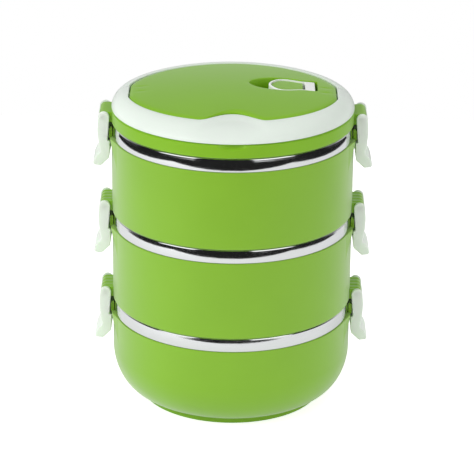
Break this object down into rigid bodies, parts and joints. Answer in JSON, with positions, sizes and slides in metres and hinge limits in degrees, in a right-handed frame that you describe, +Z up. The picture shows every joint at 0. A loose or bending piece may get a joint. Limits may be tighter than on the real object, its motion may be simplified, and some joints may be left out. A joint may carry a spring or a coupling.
{
  "type": "tiffin carrier",
  "caption": "Round stacked lunch carrier: steel bowls in green plastic shells, side latches, domed lid with folding carry handle and steam vent.",
  "frame": {"origin": "centre of the foot ring's underside, on the surface the carrier stands on", "axes": "+Z up along the stack, +X towards the right-hand latches, -Y the front, where the handle's finger tongue is"},
  "size_m": [0.1656, 0.144, 0.1939],
  "materials": {
    "green_shell": "satin",
    "green_lid": "satin",
    "white_ring": "satin",
    "mint_latch": "satin",
    "white_inner": "smooth",
    "steel": "polished",
    "silicone": "matt"
  },
  "bodies": {
    "bottom_tier": {"bottom_shell": "green_shell", "bottom_bowl": "steel"},
    "middle_tier": {"middle_shell": "green_shell", "middle_bowl": "steel", "middle_seal": "silicone", "middle_left_pin": "steel", "middle_right_pin": "steel"},
    "top_tier": {"top_shell": "green_shell", "top_bowl": "steel", "top_seal": "silicone", "top_left_pin": "steel", "top_right_pin": "steel"},
    "lid": {"lid_shell": "green_lid", "lid_liner": "white_inner", "lid_seal": "silicone", "rear_trim": "white_ring", "lid_left_pin": "steel", "lid_right_pin": "steel", "vent_pin": "steel"},
    "handle": {"carry_handle": "white_ring"},
    "vent": {"vent_lever": "white_ring", "vent_inlay": "green_lid", "vent_plug": "silicone"},
    "middle_left_latch": {"middle_left_latch": "mint_latch"},
    "middle_right_latch": {"middle_right_latch": "mint_latch"},
    "top_left_latch": {"top_left_latch": "mint_latch"},
    "top_right_latch": {"top_right_latch": "mint_latch"},
    "lid_left_latch": {"lid_left_latch": "mint_latch"},
    "lid_right_latch": {"lid_right_latch": "mint_latch"}
  },
  "joints": [
    {"name": "middle_lift", "type": "slide", "parent": "bottom_tier", "child": "middle_tier", "axis": [0, 0, 1], "range_m": [0, 0.025]},
    {"name": "top_lift", "type": "slide", "parent": "middle_tier", "child": "top_tier", "axis": [0, 0, 1], "range_m": [0, 0.025]},
    {"name": "lid_lift", "type": "slide", "parent": "top_tier", "child": "lid", "axis": [0, 0, 1], "range_m": [0, 0.025]},
    {"name": "middle_left_latch_hinge", "type": "hinge", "parent": "middle_tier", "child": "middle_left_latch", "pos_m": [-0.0761, 0, 0.0659], "axis": [0, 1, 0], "range_deg": [0, 100]},
    {"name": "middle_right_latch_hinge", "type": "hinge", "parent": "middle_tier", "child": "middle_right_latch", "pos_m": [0.0761, 0, 0.0659], "axis": [0, -1, 0], "range_deg": [0, 100]},
    {"name": "top_left_latch_hinge", "type": "hinge", "parent": "top_tier", "child": "top_left_latch", "pos_m": [-0.0761, 0, 0.1215], "axis": [0, 1, 0], "range_deg": [0, 100]},
    {"name": "top_right_latch_hinge", "type": "hinge", "parent": "top_tier", "child": "top_right_latch", "pos_m": [0.0761, 0, 0.1215], "axis": [0, -1, 0], "range_deg": [0, 100]},
    {"name": "lid_left_latch_hinge", "type": "hinge", "parent": "lid", "child": "lid_left_latch", "pos_m": [-0.0761, 0, 0.1771], "axis": [0, 1, 0], "range_deg": [0, 100]},
    {"name": "lid_right_latch_hinge", "type": "hinge", "parent": "lid", "child": "lid_right_latch", "pos_m": [0.0761, 0, 0.1771], "axis": [0, -1, 0], "range_deg": [0, 100]},
    {"name": "handle_hinge", "type": "hinge", "parent": "lid", "child": "handle", "pos_m": [0, 0.002, 0.1862], "axis": [-1, 0, 0], "range_deg": [0, 95]},
    {"name": "vent_hinge", "type": "hinge", "parent": "lid", "child": "vent", "pos_m": [0.04523, 0.007, 0.1895], "axis": [0, 1, 0], "range_deg": [0, 75]}
  ],
  "couplings": [
    {"joint": "middle_left_latch_hinge", "follows": "middle_lift", "rad_per_m": 69.8},
    {"joint": "middle_right_latch_hinge", "follows": "middle_lift", "rad_per_m": 69.8},
    {"joint": "top_left_latch_hinge", "follows": "top_lift", "rad_per_m": 69.8},
    {"joint": "top_right_latch_hinge", "follows": "top_lift", "rad_per_m": 69.8},
    {"joint": "lid_left_latch_hinge", "follows": "lid_lift", "rad_per_m": 69.8},
    {"joint": "lid_right_latch_hinge", "follows": "lid_lift", "rad_per_m": 69.8}
  ]
}
